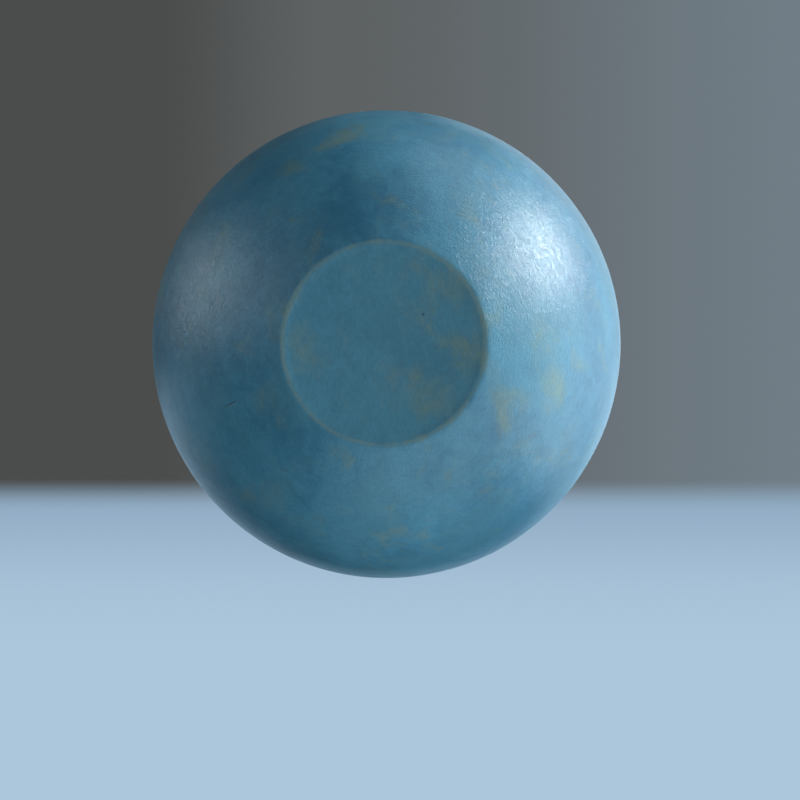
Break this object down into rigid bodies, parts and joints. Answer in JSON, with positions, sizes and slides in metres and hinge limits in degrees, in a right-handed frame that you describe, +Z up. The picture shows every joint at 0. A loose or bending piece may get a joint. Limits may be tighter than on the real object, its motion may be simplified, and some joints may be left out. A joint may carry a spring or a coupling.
{
  "type": "yarn bowl",
  "caption": "Round wooden yarn bowl with a sunk foot, an open mouth with a rounded rim and a hook-shaped yarn guide cut in the wall.",
  "frame": {"origin": "on the standing plane, under the bowl's axis", "axes": "+Z up along the turning axis, and -Y towards the side with the yarn guide"},
  "size_m": [0.13, 0.13, 0.092],
  "materials": {
    "stained_wood": "satin blue stain under wax"
  },
  "bodies": {
    "root": {"bowl": "stained_wood"}
  },
  "joints": []
}
